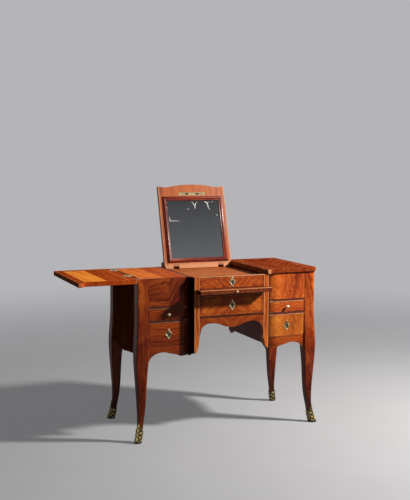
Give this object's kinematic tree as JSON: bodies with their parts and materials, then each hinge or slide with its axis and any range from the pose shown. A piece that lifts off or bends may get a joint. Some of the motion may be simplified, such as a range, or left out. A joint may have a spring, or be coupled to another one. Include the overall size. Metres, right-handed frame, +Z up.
{
  "type": "poudreuse dressing table",
  "caption": "Veneered dressing table with curved legs in brass shoes, two folding flaps over wells, a folding mirror, drawers and a writing slide.",
  "frame": {"origin": "on the floor below the middle of the case", "axes": "+X to the sitter's right, +Y away from the sitter, +Z up"},
  "size_m": [1.1692, 0.5837, 1.1277],
  "materials": {
    "case_veneer": "gloss",
    "leg_wood": "satin",
    "front_veneer": "gloss",
    "flap_veneer": "gloss",
    "mahogany": "gloss",
    "lining_oak": "matte",
    "back_oak": "matte",
    "brass": "polished",
    "steel": "satin",
    "old_glass": "polished"
  },
  "bodies": {
    "case": {"leg_front_left": "leg_wood", "sabot_front_left": "brass", "leg_front_right": "leg_wood", "sabot_front_right": "brass", "leg_back_left": "leg_wood", "sabot_back_left": "brass", "leg_back_right": "leg_wood", "sabot_back_right": "brass", "side_panel_left": "case_veneer", "side_panel_right": "case_veneer", "back_panel": "back_oak", "kneehole_side_left": "mahogany", "kneehole_side_right": "mahogany", "centre_stile_left": "case_veneer", "centre_stile_right": "case_veneer", "bay_apron_left": "case_veneer", "bay_apron_right": "case_veneer", "centre_apron": "case_veneer", "bay_boards_left": "lining_oak", "bay_boards_right": "lining_oak", "false_front_left": "front_veneer", "false_front_right": "front_veneer", "centre_boards": "lining_oak", "recess_floor": "lining_oak", "rear_batten": "mahogany", "hinge_leaves_fixed": "brass"},
    "big_drawer_left": {"big_drawer_left_front": "front_veneer", "big_drawer_left_tray": "lining_oak", "big_drawer_left_escutcheon": "brass", "big_drawer_left_lock": "steel"},
    "big_drawer_right": {"big_drawer_right_front": "front_veneer", "big_drawer_right_tray": "lining_oak", "big_drawer_right_escutcheon": "brass", "big_drawer_right_lock": "steel"},
    "lower_drawer": {"lower_drawer_front": "front_veneer", "lower_drawer_tray": "lining_oak", "lower_drawer_escutcheon": "brass", "lower_drawer_lock": "steel"},
    "top_drawer": {"top_drawer_front": "front_veneer", "top_drawer_tray": "lining_oak", "top_drawer_escutcheon": "brass", "top_drawer_lock": "steel"},
    "small_drawer_left": {"small_drawer_left_front": "front_veneer", "small_drawer_left_tray": "lining_oak", "small_drawer_left_knob": "brass"},
    "small_drawer_right": {"small_drawer_right_front": "front_veneer", "small_drawer_right_tray": "lining_oak", "small_drawer_right_knob": "brass"},
    "slide": {"writing_slide": "flap_veneer", "writing_slide_knob": "brass"},
    "left_leaf": {"flap_left": "flap_veneer", "flap_hinges_left": "brass"},
    "right_leaf": {"flap_right": "flap_veneer", "flap_hinges_right": "brass"},
    "mirror": {"mirror_panel": "flap_veneer", "mirror_glass": "old_glass", "mirror_moulding": "mahogany", "mirror_lock_plate": "brass", "mirror_hinges": "brass"},
    "left_well_cover": {"well_cover_left": "front_veneer"}
  },
  "joints": [
    {"name": "left_leaf_hinge", "type": "hinge", "parent": "case", "child": "left_leaf", "pos_m": [-0.444, 0, 0.73015], "axis": [0, -1, 0], "range_deg": [-180, 0]},
    {"name": "right_leaf_hinge", "type": "hinge", "parent": "case", "child": "right_leaf", "pos_m": [0.444, 0, 0.73015], "axis": [0, 1, 0], "range_deg": [0, 180]},
    {"name": "mirror_hinge", "type": "hinge", "parent": "case", "child": "mirror", "pos_m": [0, 0.1667, 0.7353], "axis": [-1, 0, 0], "range_deg": [-105.3, 0]},
    {"name": "big_drawer_left_run", "type": "slide", "parent": "case", "child": "big_drawer_left", "axis": [0, -1, 0], "range_m": [0, 0.25]},
    {"name": "small_drawer_left_run", "type": "slide", "parent": "case", "child": "small_drawer_left", "axis": [0, -1, 0], "range_m": [0, 0.25]},
    {"name": "big_drawer_right_run", "type": "slide", "parent": "case", "child": "big_drawer_right", "axis": [0, -1, 0], "range_m": [0, 0.25]},
    {"name": "small_drawer_right_run", "type": "slide", "parent": "case", "child": "small_drawer_right", "axis": [0, -1, 0], "range_m": [0, 0.25]},
    {"name": "lower_drawer_run", "type": "slide", "parent": "case", "child": "lower_drawer", "axis": [0, -1, 0], "range_m": [0, 0.25]},
    {"name": "top_drawer_run", "type": "slide", "parent": "case", "child": "top_drawer", "axis": [0, -1, 0], "range_m": [0, 0.25]},
    {"name": "writing_slide_run", "type": "slide", "parent": "case", "child": "slide", "axis": [0, -1, 0], "range_m": [-0.048, 0.16]},
    {"name": "well_cover_lift", "type": "slide", "parent": "case", "child": "left_well_cover", "axis": [0, 0, 1], "range_m": [0, 0.1]}
  ]
}
